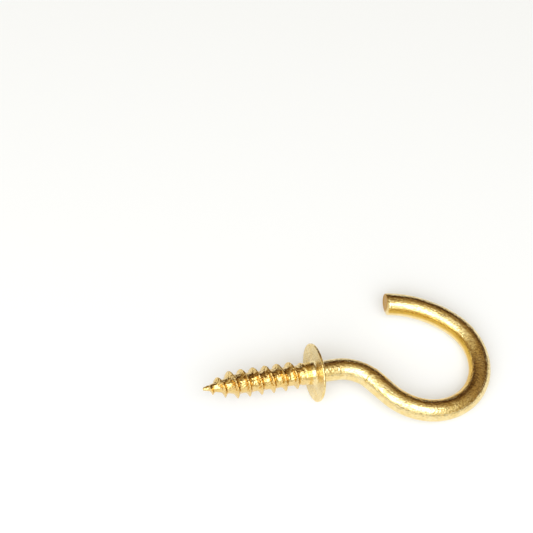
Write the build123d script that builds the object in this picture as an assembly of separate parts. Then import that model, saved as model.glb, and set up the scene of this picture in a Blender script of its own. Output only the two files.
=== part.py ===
from build123d import *
from math import asin, atan2, ceil, cos, degrees, hypot, pi, sin
import os

# Screw-in cup hook bent from one length of brass wire, in millimetres.
# It is built along +X with the collar's seating face at x = 0, then tipped to lie as it does on a table.

# Wire and its bends, with lengths and radii measured on the centreline
wire_d = 2.3
gripped_d = 2.22
gripped_length = 6.1
neck_straight = 2.5
first_bend_radius = 4.2
first_bend_angle = 57.5
middle_straight = 2.05
loop_radius = 5.9
loop_angle = 189
end_radius = 10.4
end_angle = 39.1
end_straight = 0.3
end_chamfer = 0.1

# Collar pressed up out of the wire
collar_d = 6.0
rim_thickness = 0.26
rim_chamfer = 0.08
seat_blend = 0.5
hub_length = 0.6

# Screw core, from the gimlet point back to the neck
screw_length = 11.8
root_d = 2.0
point_length = 3.4
nub_d = 0.3
neck_taper_start = 1.7
neck_taper_end = 0.95

# Thread, a sharp ridge that grows out of the point and runs out at the neck
pitch = 1.28
crest_d = 2.9
foot_width = 0.6
point_crest_d = 0.8
crest_taper_length = 2.95
thread_start = 0.2
thread_end = 0.75
run_in = 0.7
run_out = 1.28
sink = 0.05
foot_depth = 0.15
points_per_turn = 32


def ramp(x, x0, x1, y0, y1):
    # Straight change from y0 at x0 to y1 at x1, level beyond both
    share = min(max((x - x0) / (x1 - x0), 0.0), 1.0)
    return y0 + (y1 - y0) * share


def core_radius(x):
    # Radius of the screw under its thread, x behind the tip of the point
    point = ramp(x, 0.0, point_length, nub_d / 2, root_d / 2)
    neck = ramp(x, screw_length - neck_taper_start, screw_length - neck_taper_end, 0.0, (wire_d - root_d) / 2)
    return point + neck


def crest_height(x):
    # Height of the crest over the core, which sinks below it at both ends of the thread
    full = ramp(x, 0.0, crest_taper_length, point_crest_d / 2, crest_d / 2) - core_radius(x)
    last = screw_length - thread_end
    grown = ramp(x, thread_start, thread_start + run_in, 0.0, 1.0)
    left = ramp(x, last - run_out, last, 1.0, 0.0)
    share = min(grown, left)
    return full * share - sink * (1 - share)


def thread_edge(side, x0, x1):
    # Edge of the ridge winding round the axis from x0 to x1: side 0 is the crest, -1 and 1 the foot
    flank_slope = foot_width / (crest_d - root_d)
    steps = ceil(points_per_turn * (x1 - x0) / pitch)
    points = []
    for step in range(steps + 1):
        x = x0 + (x1 - x0) * step / steps
        turn = 2 * pi * (x - thread_start) / pitch
        height = crest_height(x) if side == 0 else -foot_depth
        radius = core_radius(x) + height
        half_width = flank_slope * (crest_height(x) - height)
        points.append((x - screw_length + side * half_width, radius * cos(turn), radius * sin(turn)))
    return Edge.make_spline(points)


def thread_turn(x0, x1):
    # One turn of the ridge: two flanks that meet at the crest, over a foot sunk in the core
    edges = [thread_edge(side, x0, x1) for side in (-1, 1, 0)]
    skins = [Face.make_surface_from_curves(edge, edges[(i + 1) % 3]) for i, edge in enumerate(edges)]
    ends = [make_face(Polyline(*[edge @ at for edge in edges], close=True)).face() for at in (0, 1)]
    return Solid(Shell(skins + ends))


def make_thread():
    # The ridge in turns, from the point to the neck
    last = screw_length - thread_end
    turns = ceil((last - thread_start) / pitch)
    stops = [min(thread_start + i * pitch, last) for i in range(turns + 1)]
    return [thread_turn(x0, x1) for x0, x1 in zip(stops, stops[1:])]


def make_stem():
    # Screw core, neck and collar turned as one shape about the wire's axis
    neck_r = wire_d / 2
    rim_r = collar_d / 2
    blend = Bezier((-seat_blend, neck_r), (0, neck_r), (0, neck_r + seat_blend))
    outline = Polyline(
        blend @ 1,
        (0, rim_r),
        (rim_thickness - rim_chamfer, rim_r),
        (rim_thickness, rim_r - rim_chamfer),
        (hub_length, gripped_d / 2),
        (hub_length, 0),
        (-screw_length, 0),
        (-screw_length, nub_d / 2),
        (point_length - screw_length, root_d / 2),
        (-neck_taper_start, root_d / 2),
        (-neck_taper_end, neck_r),
        blend @ 0,
    )
    return revolve(make_face([blend, outline]), Axis.X)


def run_wire(path, diameter):
    # Round wire of one diameter along a path
    start = path @ 0
    section = Plane(origin=start, z_dir=path % 0) * Circle(diameter / 2)
    return sweep(section, path=path)


stem = make_stem()
gripped_angle = degrees((gripped_length - neck_straight) / first_bend_radius)

# Stretch held in the dies while the collar was pressed, ending in a faint step part way round the first bend
straight = Line((hub_length, 0), (neck_straight, 0))
gripped_bend = JernArc(straight @ 1, straight % 1, first_bend_radius, -gripped_angle)
gripped_wire = run_wire(Wire([straight, gripped_bend]), gripped_d)

# Rest of the gooseneck, the round loop and the opened-out free end
free_bend = JernArc(gripped_bend @ 1, gripped_bend % 1, first_bend_radius, gripped_angle - first_bend_angle)
middle = Line(free_bend @ 1, free_bend @ 1 + (free_bend % 1) * middle_straight)
loop = JernArc(middle @ 1, middle % 1, loop_radius, loop_angle)
opened_end = JernArc(loop @ 1, loop % 1, end_radius, end_angle)
tip = Line(opened_end @ 1, opened_end @ 1 + (opened_end % 1) * end_straight)
loop_wire = run_wire(Wire([free_bend, middle, loop, opened_end, tip]), wire_d)
end_face = loop_wire.faces().sort_by_distance(tip @ 1)[0]
loop_wire = chamfer(end_face.edges(), end_chamfer)

hook = stem.fuse(*make_thread(), gripped_wire, loop_wire)

# Lying on a table it touches at the collar's rim and under the far side of the loop
crown_x = loop.arc_center.X + loop_radius
rim_x = rim_thickness - rim_chamfer
reach = hypot(crown_x - rim_x, collar_d / 2)
tip_angle = atan2(collar_d / 2, crown_x - rim_x) - asin(wire_d / 2 / reach)
hook = Rot(0, degrees(tip_angle), 0) * hook

os.makedirs("parts", exist_ok=True)
export_step(hook, "parts/cup_hook.step")
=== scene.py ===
import bmesh
import bpy
from math import atan2, ceil, cos, exp, pi, radians, sin, tau
from mathutils import Matrix, Quaternion, Vector, noise


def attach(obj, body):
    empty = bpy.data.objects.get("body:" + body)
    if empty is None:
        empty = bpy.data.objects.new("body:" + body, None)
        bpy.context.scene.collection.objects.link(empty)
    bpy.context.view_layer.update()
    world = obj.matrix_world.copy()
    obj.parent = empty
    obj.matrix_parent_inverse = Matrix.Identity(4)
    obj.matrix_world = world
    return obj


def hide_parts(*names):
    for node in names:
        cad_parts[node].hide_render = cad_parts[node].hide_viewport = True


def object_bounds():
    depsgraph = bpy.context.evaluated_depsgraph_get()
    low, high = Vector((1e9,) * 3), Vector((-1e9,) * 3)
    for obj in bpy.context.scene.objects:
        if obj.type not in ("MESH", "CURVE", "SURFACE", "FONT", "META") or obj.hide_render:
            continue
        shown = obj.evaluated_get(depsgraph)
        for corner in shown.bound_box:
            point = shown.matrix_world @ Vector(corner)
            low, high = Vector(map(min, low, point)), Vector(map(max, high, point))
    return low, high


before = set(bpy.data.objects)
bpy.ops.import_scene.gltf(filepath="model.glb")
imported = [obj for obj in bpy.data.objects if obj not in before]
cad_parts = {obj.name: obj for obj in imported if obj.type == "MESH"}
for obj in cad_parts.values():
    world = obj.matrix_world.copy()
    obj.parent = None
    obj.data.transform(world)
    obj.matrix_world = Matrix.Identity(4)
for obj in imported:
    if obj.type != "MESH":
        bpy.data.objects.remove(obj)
scene = bpy.context.scene
scene.view_settings.view_transform = "Standard"


def cornersOf(box):
    return [list(corner) for corner in box]


cadSize = cornersOf(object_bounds())
print("frame loaded, cad corners", cadSize)

# The hook before it is tipped: screw along -X, loop in the XY plane.
# Sizes in millimetres, lengths and bend radii on the centreline, turns in degrees.
wire = {
    "radius": 1.15,
    "neckStraight": 2.5,
    "firstBend": (4.2, -57.5),
    "middleStraight": 2.05,
    "loopBend": (5.9, 189.0),
    "openedBend": (10.4, 39.1),
    "endStraight": 0.3,
    "tipAngle": 5.901,             # how far it leans when it lies on a table
    "sides": 80,
    "ringStep": 0.12,
    "wave": (0.9, 0.004, 0.5),     # fineness per millimetre, depth, and share of the depth at its middle
}

# Where the dies held the wire while the collar was pressed
grip = {
    "start": 0.6,
    "end": 6.1,
    "depth": 0.04,
    "stepLength": 0.1,
}

# The cut end of the wire
cut = {
    "length": 0.3,                 # how far back the rolled edge starts
    "lead": 0.01,                  # keeps the last straight from coming out at nothing
    "roll": 0.46,
    "lean": 0.82,                  # 0 rolls the edge evenly, 1 on one side only
    "towards": (0, 0.83, 0.55),
    "steps": 10,
    "faceRings": 12,
    "dish": 0.035,                 # how deep the cut face lies inside its raised edge
    "dishRing": 2,                 # ring of the face at which it drops
}

collar = {
    "radius": 3.0,
    "thickness": 0.26,
    "bevel": 0.08,
    "seatBlend": 0.5,
    "hubLength": 0.6,
    "flatEnd": 0.045,              # how far inside the rim the flat of the seat ends
    "rings": (12, 10, 19),         # over the blend, the seat and the back
    # Softened edges: how far along from the seat, the bevel's start, the back and the hub, and how deep
    "seatEdge": ((0.008, 0.018), (0.03, 0.003), (0.07, 0)),
    "bevelEdge": ((-0.02, 0), (0.015, 0.012)),
    "backEdge": ((-0.01, -0.005), (0.012, 0.03)),
    "hubEdge": ((0.02, -0.01), (0.08, 0)),
}

screw = {
    "length": 11.8,
    "rootRadius": 1.0,
    "pointLength": 3.4,
    "nubRadius": 0.15,
    "nubRings": ((0, 0.05), (0.01, 0.1), (0.04, 0.145)),      # behind the point, and radius
    "neckTaper": (1.7, 0.95),      # before the collar, where the core widens to the wire
    "rowStep": 0.022,
    "leeway": 0.01,                # for picking rows by their place
}

thread = {
    "pitch": 1.28,
    "crestRadius": 1.45,
    "pointCrestRadius": 0.4,
    "crestTaper": 2.95,
    "start": 0.2,
    "end": 0.75,
    "runIn": 0.7,
    "runOut": 1.28,
    "sink": 0.05,                  # how far under the core the ridge's ends lie
    "ridgeWidth": 0.155,           # half width of the bell-shaped ridge
    "lowWidth": 0.45,              # share of that width where the ridge starts
    "fullHeight": 0.45,            # height from which it has its whole width
    "unevenTo": -0.8,              # place on the wire where the uneven cut ends
    "chatter": (3.1, 0.012, 0.4),  # given as the wire's wave is
    "tears": (9.0, 0.006, 0.4),
}


def wireLength():
    # Centreline from the collar's seat to the cut end
    bends = (wire["firstBend"], wire["loopBend"], wire["openedBend"])
    straights = wire["neckStraight"] + wire["middleStraight"] + wire["endStraight"]
    return straights + sum(radius * abs(radians(turn)) for radius, turn in bends)


def ramp(x, x0, x1, y0, y1):
    share = min(max((x - x0) / (x1 - x0), 0.0), 1.0)
    return y0 + (y1 - y0) * share


def coreRadius(x):
    # Screw core, x behind the point
    neckStart, neckEnd = (screw["length"] - at for at in screw["neckTaper"])
    point = ramp(x, 0, screw["pointLength"], screw["nubRadius"], screw["rootRadius"])
    return point + ramp(x, neckStart, neckEnd, 0, wire["radius"] - screw["rootRadius"])


def crestHeight(x):
    # Crest over the core, growing out of the point and running out at the neck
    crestRadius = ramp(x, 0, thread["crestTaper"], thread["pointCrestRadius"], thread["crestRadius"])
    last = screw["length"] - thread["end"]
    grown = ramp(x, thread["start"], thread["start"] + thread["runIn"], 0, 1)
    left = ramp(x, last - thread["runOut"], last, 1, 0)
    share = min(grown, left)
    return max((crestRadius - coreRadius(x)) * share - thread["sink"] * (1 - share), 0.0)


def threadLift(x, around):
    # Rounded ridge over the core: a bell across the crest, thinner where the thread is low
    start, pitch = thread["start"], thread["pitch"]
    turns = around / tau
    crest = start + pitch * (turns + round((x - start) / pitch - turns))
    height = crestHeight(x)
    width = thread["ridgeWidth"] * ramp(height, 0, thread["fullHeight"], thread["lowWidth"], 1)
    return height * exp(-0.5 * ((x - crest) / width) ** 2)


def collarOutline():
    # Places and radii from the neck over the blend, seat, rim and bevel to the shallow cone at the back
    blend, neck, rim, thick = collar["seatBlend"], wire["radius"], collar["radius"], collar["thickness"]
    blendRings, seatRings, backRings = collar["rings"]
    outline = []
    for step in range(1, blendRings + 1):
        share = step / blendRings
        outline.append((-blend * (1 - share) ** 2, neck + blend * share ** 2))
    seatStart, seatEnd = neck + blend, rim - collar["flatEnd"]
    for step in range(1, seatRings + 1):
        outline.append((0.0, seatStart + (seatEnd - seatStart) * step / seatRings))
    bevelStart, bevelEnd = thick - collar["bevel"], rim - collar["bevel"]
    outline += [(at, rim - deep) for at, deep in collar["seatEdge"]]
    outline += [(bevelStart + at, rim - deep) for at, deep in collar["bevelEdge"]]
    outline += [(thick + at, bevelEnd - deep) for at, deep in collar["backEdge"]]
    back, hub = Vector(outline[-1]), Vector((collar["hubLength"], neck))
    outline += [tuple(back.lerp(hub, step / backRings)) for step in range(1, backRings)]
    return outline + [(hub.x + at, hub.y - deep) for at, deep in collar["hubEdge"]]


def vertsOf(geometry):
    return [g for g in geometry if isinstance(g, bmesh.types.BMVert)]


def openEdges(geometry):
    return [g for g in geometry if isinstance(g, bmesh.types.BMEdge) and g.is_boundary]


def ringOf(edges):
    # Points of an open ring, each once and in the same order every run, and its middle
    verts = list(dict.fromkeys(vert for edge in edges for vert in edge.verts))
    return verts, sum((vert.co for vert in verts), Vector()) / len(verts)


def placeLayers(shape, *names):
    # Each point's place on the straight wire: distance along it, angle around it, reach from its middle
    return [shape.verts.layers.float[name] for name in names or ("along", "around", "reach")]


def startWire(shape, along, radius):
    turned = Matrix.Translation((along, 0, 0)) @ Matrix.Rotation(pi / 2, 4, "Y")
    made = bmesh.ops.create_circle(shape, segments=wire["sides"], radius=radius, matrix=turned)["verts"]
    alongLayer, aroundLayer, reachLayer = placeLayers(shape)
    for vert in made:
        vert[alongLayer], vert[aroundLayer], vert[reachLayer] = along, atan2(vert.co.z, vert.co.y), radius
    return shape.edges[:]


def growTo(shape, ring, step, radius, along):
    # Next ring of the wire: drawn out by a step and sized about its own middle
    made = bmesh.ops.extrude_edge_only(shape, edges=ring)["geom"]
    bmesh.ops.translate(shape, vec=step, verts=vertsOf(made))
    ring = openEdges(made)
    verts, middle = ringOf(ring)
    factor = radius / (verts[0].co - middle).length
    bmesh.ops.scale(shape, vec=(factor,) * 3, space=Matrix.Translation(-middle), verts=verts)
    alongLayer, reachLayer = placeLayers(shape, "along", "reach")
    for vert in verts:
        vert[alongLayer], vert[reachLayer] = along, radius
    return ring


def closeRing(shape, ring):
    verts, middle = ringOf(ring)
    bmesh.ops.pointmerge(shape, verts=verts, merge_co=middle)


def makeStem(shape):
    # Screw, neck and collar on one straight axis, the screw still plain
    (place, tipRadius), *nub = [(x - screw["length"], radius) for x, radius in screw["nubRings"]]
    ring = first = startWire(shape, place, tipRadius)
    for along, radius in nub + [(-collar["seatBlend"], wire["radius"])] + collarOutline():
        ring = growTo(shape, ring, (along - place, 0, 0), radius, along)
        place = along
    closeRing(shape, first)
    return ring, place


def drawStraight(shape, ring, heading, length, along):
    # Straight stretch in even steps
    steps = max(1, ceil(length / wire["ringStep"]))
    step = Vector((cos(heading), sin(heading), 0)) * (length / steps)
    for count in range(steps):
        along += length / steps
        ring = growTo(shape, ring, step, wire["radius"], along)
    return ring, along


def bendWire(shape, ring, heading, bend, along):
    # Bends the wire round a post on its left or right, as a jig does
    bendRadius, turn = bend[0], radians(bend[1])
    verts, middle = ringOf(ring)
    side = Vector((-sin(heading), cos(heading), 0)) * (1 if turn > 0 else -1)
    post = middle + side * bendRadius
    old = len(shape.verts)
    made = bmesh.ops.spin(
        shape, geom=verts + ring, cent=post, axis=(0, 0, 1), angle=turn,
        steps=ceil(bendRadius * abs(turn) / wire["ringStep"]), dvec=(0, 0, 0),
    )["geom_last"]
    shape.verts.ensure_lookup_table()
    [alongLayer] = placeLayers(shape, "along")
    start = (middle - post).xy
    for vert in shape.verts[old:]:
        swept = start.angle_signed((vert.co - post).xy)
        swept = abs(swept) if swept * turn < 0 or abs(swept) < 1e-6 else tau - abs(swept)
        vert[alongLayer] = along + bendRadius * swept
    return openEdges(made), heading + turn, along + bendRadius * abs(turn)


def cutEnd(shape, ring, heading, along):
    # Sheared end: the blade rolled one edge over, so the cut face is smaller and sits to the other side
    ahead, up = Vector((cos(heading), sin(heading), 0)), Vector(cut["towards"]).normalized()
    out = shift = 0.0
    for step in range(1, cut["steps"] + 1):
        turn = pi / 2 * step / cut["steps"]
        nextOut, inward = cut["length"] * sin(turn), cut["roll"] * (1 - cos(turn))
        nextShift = inward * cut["lean"]
        move = ahead * (nextOut - out) + up * (nextShift - shift)
        ring = growTo(shape, ring, move, wire["radius"] - inward, along + nextOut)
        out, shift = nextOut, nextShift
    face = wire["radius"] - cut["roll"]
    for step in range(1, cut["faceRings"]):
        sunk = cut["dish"] if step == cut["dishRing"] else 0.0
        ring = growTo(shape, ring, ahead * -sunk, face * (1 - step / cut["faceRings"]), along + out)
    closeRing(shape, ring)


def cutThread(shape):
    # Cuts the plain screw into fine rows, sizes its core and raises the ridge of the thread
    alongLayer, aroundLayer, reachLayer = placeLayers(shape)
    plain = [edge for edge in shape.edges if edge.calc_length() > screw["length"] / 2]
    rows = ceil(screw["length"] / screw["rowStep"])
    bmesh.ops.subdivide_edges(shape, edges=plain, cuts=rows, use_grid_fill=True)
    first = screw["nubRings"][-1][0] - screw["leeway"]
    last = screw["length"] - collar["seatBlend"] - screw["leeway"]
    for vert in shape.verts:
        x, around = vert[alongLayer] + screw["length"], vert[aroundLayer]
        if first < x < last:
            vert[reachLayer] = coreRadius(x) + threadLift(x, around)
            vert.co.yz = vert[reachLayer] * cos(around), vert[reachLayer] * sin(around)


def gripDepth(along):
    # Squeeze of the dies, from just behind the collar to the faint step round the first bend
    half = grip["stepLength"] / 2
    squeezed = ramp(along, grip["start"], grip["start"] + grip["stepLength"], 0, grip["depth"])
    return squeezed - ramp(along, grip["end"] - half, grip["end"] + half, 0, grip["depth"])


def dent(own, fineness, depth, level):
    return depth * (level - noise.noise(own * fineness))


def roughen(shape):
    # Unevenness of a formed part, only ever inward: faint wave along the wire, chattered thread, die grip
    alongLayer, aroundLayer = placeLayers(shape, "along", "around")
    for vert in shape.verts:
        along, around = vert[alongLayer], vert[aroundLayer]
        own = Vector((along, cos(around) * wire["radius"], sin(around) * wire["radius"]))
        depth = dent(own, *wire["wave"])
        if along < thread["unevenTo"]:
            depth = dent(own, *thread["chatter"]) + dent(own, *thread["tears"])
        vert.co -= vert.normal * max(depth + gripDepth(along), 0.0)


def keepStraightPlace(shape):
    # One vector per point, its place on the wire before bending, which the finish follows
    alongLayer, aroundLayer, reachLayer = placeLayers(shape)
    straight = shape.verts.layers.float_vector.new("straightWire")
    for vert in shape.verts:
        around, reach = vert[aroundLayer], vert[reachLayer]
        vert[straight] = vert[alongLayer], reach * cos(around), reach * sin(around)


def makeHook():
    shape = bmesh.new()
    for name in ("along", "around", "reach"):
        shape.verts.layers.float.new(name)
    ring, along = makeStem(shape)
    heading = 0.0
    ring, along = drawStraight(shape, ring, heading, wire["neckStraight"] - along, along)
    ring, heading, along = bendWire(shape, ring, heading, wire["firstBend"], along)
    ring, along = drawStraight(shape, ring, heading, wire["middleStraight"], along)
    ring, heading, along = bendWire(shape, ring, heading, wire["loopBend"], along)
    ring, heading, along = bendWire(shape, ring, heading, wire["openedBend"], along)
    ring, along = drawStraight(shape, ring, heading, wire["endStraight"] - cut["length"] + cut["lead"], along)
    cutEnd(shape, ring, heading, along)
    print("wire bent, length on the centreline", round(along + cut["length"] + screw["length"], 2))
    cutThread(shape)
    bmesh.ops.recalc_face_normals(shape, faces=shape.faces)
    shape.normal_update()
    roughen(shape)
    keepStraightPlace(shape)
    lean = Matrix.Rotation(radians(wire["tipAngle"]), 4, "Y")
    bmesh.ops.transform(shape, matrix=Matrix.Scale(0.001, 4) @ lean, verts=shape.verts)
    return shape


def showPiece(name, shape):
    # Mesh object from a finished shape, smooth all over
    mesh = bpy.data.meshes.new(name)
    shape.to_mesh(mesh)
    shape.free()
    mesh.polygons.foreach_set("use_smooth", [True] * len(mesh.polygons))
    piece = bpy.data.objects.new(name, mesh)
    scene.collection.objects.link(piece)
    return piece


brassHook = showPiece("brassHook", makeHook())
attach(brassHook, "root")
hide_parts("cup_hook")
print("hook made,", len(brassHook.data.polygons), "faces")


def addNode(tree, kind, **values):
    # New node; each value goes to the setting or the socket of that name
    node = tree.nodes.new("ShaderNode" + kind)
    for name, value in values.items():
        if hasattr(node, name):
            setattr(node, name, value)
        else:
            node.inputs[name.replace("_", " ")].default_value = value
    return node


def join(tree, *pairs):
    for start, end in pairs:
        tree.links.new(start, end)


def newMaterial(name):
    material = bpy.data.materials.new(name)
    material.use_nodes = True
    return material, material.node_tree, material.node_tree.nodes["Principled BSDF"]


def between(tree, value, low, high, atLow, atHigh):
    # Even change from one amount to another as a value goes from low to high
    node = addNode(tree, "MapRange", From_Min=low, From_Max=high, To_Min=atLow, To_Max=atHigh)
    join(tree, (value, node.inputs["Value"]))
    return node.outputs["Result"]


def calc(tree, operation, first, second):
    node = addNode(tree, "Math", operation=operation)
    for socket, value in zip(node.inputs, (first, second)):
        if isinstance(value, (int, float)):
            socket.default_value = value
        else:
            join(tree, (value, socket))
    return node.outputs[0]


def vectorCalc(tree, operation, own, other):
    # Node that sets each place on the wire against one fixed vector
    node = addNode(tree, "VectorMath", operation=operation)
    node.inputs[1].default_value = other
    join(tree, (own, node.inputs[0]))
    return node


def mixColour(tree, amount, first, second):
    node = addNode(tree, "MixRGB")
    for socket, value in zip(node.inputs, (amount, first, second)):
        if isinstance(value, (tuple, float)):
            socket.default_value = value
        else:
            join(tree, (value, socket))
    return node.outputs[0]


brass = {
    "paleColour": (0.93, 0.77, 0.42, 1),
    "deepColour": (0.89, 0.68, 0.29, 1),
    "threadColour": (0.80, 0.54, 0.18, 1),
    "paintedReflectionColour": (0.72, 0.45, 0.08, 1),    # painted reflection: a deeper gold line along the inside of the bends
    "speckColour": (0.40, 0.24, 0.07, 1),
    "scuffColour": (0.36, 0.26, 0.13, 1),
    "cutColour": (0.52, 0.28, 0.04, 1),
    "paintedReflectionSide": (0, 0.945, 0.325),          # side of the wire that the painted reflection line runs on
    "threadTone": 0.65,                      # how much of its own colour each of these takes
    "speckTone": 0.5,
    "scuffTone": 0.75,
    "specksBelow": 0.35,                     # share of the specks left underneath and on the seat
    "specksOnSeat": 0.4,
    "roughness": (0.06, 0.16),
    "threadPolish": 0.6,                     # share of the roughness left on the thread
    "seatRoughness": 0.16,                   # what each of these adds to it
    "cutRoughness": 0.2,
    "scuffRoughness": 0.2,
    "grainHeight": 0.032,                    # bump heights in millimetres
    "drawLineHeight": 0.035,
    "chatterHeight": 0.12,
}

# Patterns on the straight wire: how fine along and across it, fineness per millimetre, and detail
patterns = {
    "grain": ((1, 1, 1), 5.0, 1),
    "specks": ((1, 1, 1), 4.6, 1),
    "drawLines": ((0.3, 2.5, 2.5), 2.0, 2),
    "chatter": ((1.3, 1, 1), 2.6, 1),
    "strokes": ((1, 2.2, 2.2), 2.2, 2),
    "blotch": ((1, 1, 1), 1.1, 2),
}

# Where each change starts and where it is full, in millimetres on the straight wire or as levels of a pattern
fades = {
    "thread": (-0.5, -1.4),
    "seatInside": (1.5, 1.75),
    "seatRim": (2.95, 2.9),
    "cutFace": (0.06, 0.01),                 # before the wire's end
    # Painted reflection line: how squarely the wire faces its side, and where along the wire it begins
    "paintedReflectionSide": (1.05, 1.135),
    "paintedReflectionStart": (9, 12),
    "top": (0.3, 1.0),
    "scuff": (1.0, 0.3),                     # shares of a scuff's size
    "grain": (0.3, 0.7),
    "specks": (0.5, 0.62),
    "strokes": (0.47, 0.56),
    "blotch": (0.35, 0.65),
}

# Two rubbed patches: middle on the straight wire and size, in millimetres
scuffs = {
    "onArm": ((29.4, 0.62, 0.97), 0.75),
    "onLowBend": ((10.5, -0.78, 0.84), 0.85),
}


def fade(tree, value, name, start=0, full=1):
    return between(tree, value, *fades[name], start, full)


def pattern(tree, own, name):
    # Noise fixed to the wire
    stretch, fineness, detail = patterns[name]
    mapping = addNode(tree, "Mapping")
    mapping.inputs["Scale"].default_value = stretch
    cloud = addNode(tree, "TexNoise", Scale=fineness, Detail=detail, Roughness=0.6)
    join(tree, (own, mapping.inputs["Vector"]), (mapping.outputs["Vector"], cloud.inputs["Vector"]))
    return cloud.outputs["Fac"]


def nearPlace(tree, own, place, size):
    # 1 at a place on the straight wire, fading to 0 at its edge
    away = vectorCalc(tree, "DISTANCE", own, place).outputs["Value"]
    return between(tree, away, *(size * share for share in fades["scuff"]), 0, 1)


def markPlacesAndPaintedReflection(tree, own):
    # Where each treatment and the painted reflection line lie on the wire, from 0 to 1
    parts, reachNode = addNode(tree, "SeparateXYZ"), addNode(tree, "VectorMath", operation="LENGTH")
    across = vectorCalc(tree, "MULTIPLY", own, (0, 1, 1))
    join(tree, (own, parts.inputs[0]), (across.outputs[0], reachNode.inputs[0]))
    along, reach = parts.outputs["X"], reachNode.outputs["Value"]
    # Painted reflection: a deeper gold line along the inside of the bends, from the start of the loop on
    towardsPaintedReflection = vectorCalc(tree, "DOT_PRODUCT", own, brass["paintedReflectionSide"]).outputs["Value"]
    seat = calc(tree, "MULTIPLY", fade(tree, reach, "seatInside"), fade(tree, reach, "seatRim"))
    upper = fade(tree, parts.outputs["Z"], "top", brass["specksBelow"])
    offSeat = between(tree, seat, 0, 1, 1, brass["specksOnSeat"])
    patches = calc(tree, "MAXIMUM", *(nearPlace(tree, own, *scuff) for scuff in scuffs.values()))
    strokes = fade(tree, pattern(tree, own, "strokes"), "strokes", 0, brass["scuffTone"])
    bends = fade(tree, along, "paintedReflectionStart")
    return {
        "thread": fade(tree, along, "thread"),
        "seat": seat,
        "cut": between(tree, along, *(wireLength() - at for at in fades["cutFace"]), 0, 1),
        "inside": calc(tree, "MULTIPLY", fade(tree, towardsPaintedReflection, "paintedReflectionSide"), bends),
        "specked": calc(tree, "MULTIPLY", upper, offSeat),
        "scuff": calc(tree, "MULTIPLY", patches, strokes),
    }


def brassColour(tree, own, on):
    # Two brasses in soft blotches, then the tones and marks of each place and the painted reflection line
    blotch = fade(tree, pattern(tree, own, "blotch"), "blotch")
    specks = fade(tree, pattern(tree, own, "specks"), "specks", 0, brass["speckTone"])
    threadTone = calc(tree, "MULTIPLY", on["thread"], brass["threadTone"])
    colour = mixColour(tree, blotch, brass["paleColour"], brass["deepColour"])
    # Painted reflection: deeper gold along the inside of the bends
    colour = mixColour(tree, on["inside"], colour, brass["paintedReflectionColour"])
    colour = mixColour(tree, threadTone, colour, brass["threadColour"])
    colour = mixColour(tree, calc(tree, "MULTIPLY", specks, on["specked"]), colour, brass["speckColour"])
    colour = mixColour(tree, on["scuff"], colour, brass["scuffColour"])
    return mixColour(tree, on["cut"], colour, brass["cutColour"])


def brassRoughness(tree, grain, on):
    # Polished all over, more so on the thread and less where it was pressed, cut or rubbed
    rough = fade(tree, grain, "grain", *brass["roughness"])
    rough = calc(tree, "MULTIPLY", rough, between(tree, on["thread"], 0, 1, 1, brass["threadPolish"]))
    for place in ("seat", "cut", "scuff"):
        added = calc(tree, "MULTIPLY", on[place], brass[place + "Roughness"])
        rough = calc(tree, "ADD", rough, added)
    return rough


def brassBump(tree, own, grain, on):
    # Grain and draw lines all over, chatter on the thread alone
    drawn = calc(tree, "MULTIPLY", pattern(tree, own, "drawLines"), brass["drawLineHeight"])
    chatter = calc(tree, "MULTIPLY", pattern(tree, own, "chatter"), brass["chatterHeight"])
    height = calc(tree, "ADD", calc(tree, "MULTIPLY", grain, brass["grainHeight"]), drawn)
    height = calc(tree, "ADD", height, calc(tree, "MULTIPLY", chatter, on["thread"]))
    bump = addNode(tree, "Bump", Distance=0.001)
    join(tree, (height, bump.inputs["Height"]))
    return bump.outputs[0]


def brightBrass():
    material, tree, shader = newMaterial("brightBrass")
    own = addNode(tree, "Attribute", attribute_name="straightWire").outputs["Vector"]
    on = markPlacesAndPaintedReflection(tree, own)
    grain = pattern(tree, own, "grain")
    join(tree, (brassColour(tree, own, on), shader.inputs["Base Color"]))
    join(tree, (brassRoughness(tree, grain, on), shader.inputs["Roughness"]))
    join(tree, (brassBump(tree, own, grain, on), shader.inputs["Normal"]))
    shader.inputs["Metallic"].default_value = 1.0
    return material


brassHook.data.materials.append(brightBrass())
print("brass finish made")

table = {
    "size": 4.0,
    "colour": (0.71, 0.745, 0.81, 1),
    "roughness": 0.9,
    "ownLight": 0.26,              # lift of the paper where it is seen, mirrored or seen through glass
}


def makeTable():
    # Sheet of pale paper under the hook
    flat = bmesh.new()
    bmesh.ops.create_grid(flat, x_segments=1, y_segments=1, size=table["size"] / 2)
    bmesh.ops.translate(flat, vec=(0, 0, cadSize[0][2]), verts=flat.verts)
    piece = showPiece("paleTable", flat)
    material, tree, shader = newMaterial("palePaper")
    shader.inputs["Base Color"].default_value = table["colour"]
    shader.inputs["Roughness"].default_value = table["roughness"]
    shader.inputs["Specular IOR Level"].default_value = 0.0
    shader.inputs["Emission Color"].default_value = (1, 1, 1, 1)
    ray = addNode(tree, "LightPath").outputs
    seen = calc(tree, "MAXIMUM", ray["Is Camera Ray"], ray["Is Glossy Ray"])
    seen = calc(tree, "MAXIMUM", seen, ray["Is Transmission Ray"])
    join(tree, (calc(tree, "MULTIPLY", seen, table["ownLight"]), shader.inputs["Emission Strength"]))
    piece.data.materials.append(material)
    return piece


makeTable()

# The room: dim warm brown behind and overhead, through gold to plain white in front,
# with a low pale wall all round at table height
room = {
    "brightWay": (-0.28, -0.66, 0.70),
    "range": (-0.25, 0.82),
    "strength": 1.15,
    "lowWall": (0.145, 0.12),      # sine of the height where the wall fades out and where it is full
    "wallColour": (0.40, 0.39, 0.37, 1),
    "steps": {
        0.0: (0.075, 0.036, 0.013, 1),
        0.38: (0.28, 0.19, 0.09, 1),
        0.60: (0.40, 0.31, 0.165, 1),
        0.82: (0.72, 0.65, 0.46, 1),
        1.0: (1.0, 1.02, 0.97, 1),
    },
}


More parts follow.
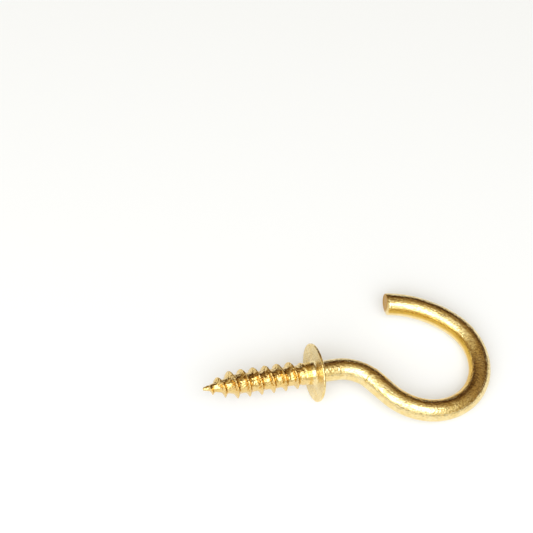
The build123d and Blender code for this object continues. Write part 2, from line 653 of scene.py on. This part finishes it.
def roomShades(tree):
    # The room's colours from the dark way round to the bright way
    shades = addNode(tree, "ValToRGB")
    shades.color_ramp.interpolation = "EASE"
    dots = shades.color_ramp.elements
    for at in sorted(room["steps"])[2:]:
        dots.new(at)
    for dot, (at, colour) in zip(dots, sorted(room["steps"].items())):
        dot.position, dot.color = at, colour
    return shades


def makeRoom():
    world = bpy.data.worlds.new("softRoom")
    world.use_nodes = True
    scene.world = world
    tree = world.node_tree
    way = addNode(tree, "TexCoord").outputs["Generated"]
    facing = vectorCalc(tree, "DOT_PRODUCT", way, room["brightWay"]).outputs["Value"]
    shades, height = roomShades(tree), addNode(tree, "SeparateXYZ")
    join(tree, (between(tree, facing, *room["range"], 0, 1), shades.inputs[0]), (way, height.inputs[0]))
    onWall = between(tree, height.outputs["Z"], *room["lowWall"], 0, 1)
    background = tree.nodes["Background"]
    background.inputs["Strength"].default_value = room["strength"]
    join(tree, (mixColour(tree, onWall, shades.outputs[0], room["wallColour"]), background.inputs["Color"]))


# Wide soft box over the front left
softBox = {
    "place": (-0.13, -0.18, 0.215),
    "width": 0.44,
    "depth": 0.22,
    "power": 0.78,
}


def makeSoftBox():
    lamp = bpy.data.lights.new("softBox", "AREA")
    lamp.shape = "RECTANGLE"
    lamp.size, lamp.size_y = softBox["width"], softBox["depth"]
    lamp.energy = softBox["power"]
    box = bpy.data.objects.new("softBox", lamp)
    scene.collection.objects.link(box)
    box.location = softBox["place"]


camera = {
    "place": (-0.0534135, -0.0976458, 0.185374),
    "looksAt": (-0.0006779, 0.0142588, -0.0015),
    "roll": 10.89,
    "lens": 143.86,
}


def makeCamera():
    lens = bpy.data.cameras.new("photoCamera")
    lens.lens = camera["lens"]
    lens.sensor_width = 36
    lens.clip_start = 0.01
    view = bpy.data.objects.new("photoCamera", lens)
    scene.collection.objects.link(view)
    look = Vector(camera["looksAt"]) - Vector(camera["place"])
    roll = Quaternion((0, 0, 1), radians(camera["roll"]))
    view.location = camera["place"]
    view.rotation_euler = (look.to_track_quat("-Z", "Y") @ roll).to_euler()
    scene.camera = view


makeRoom()
makeSoftBox()
makeCamera()
print("table, light and camera placed")
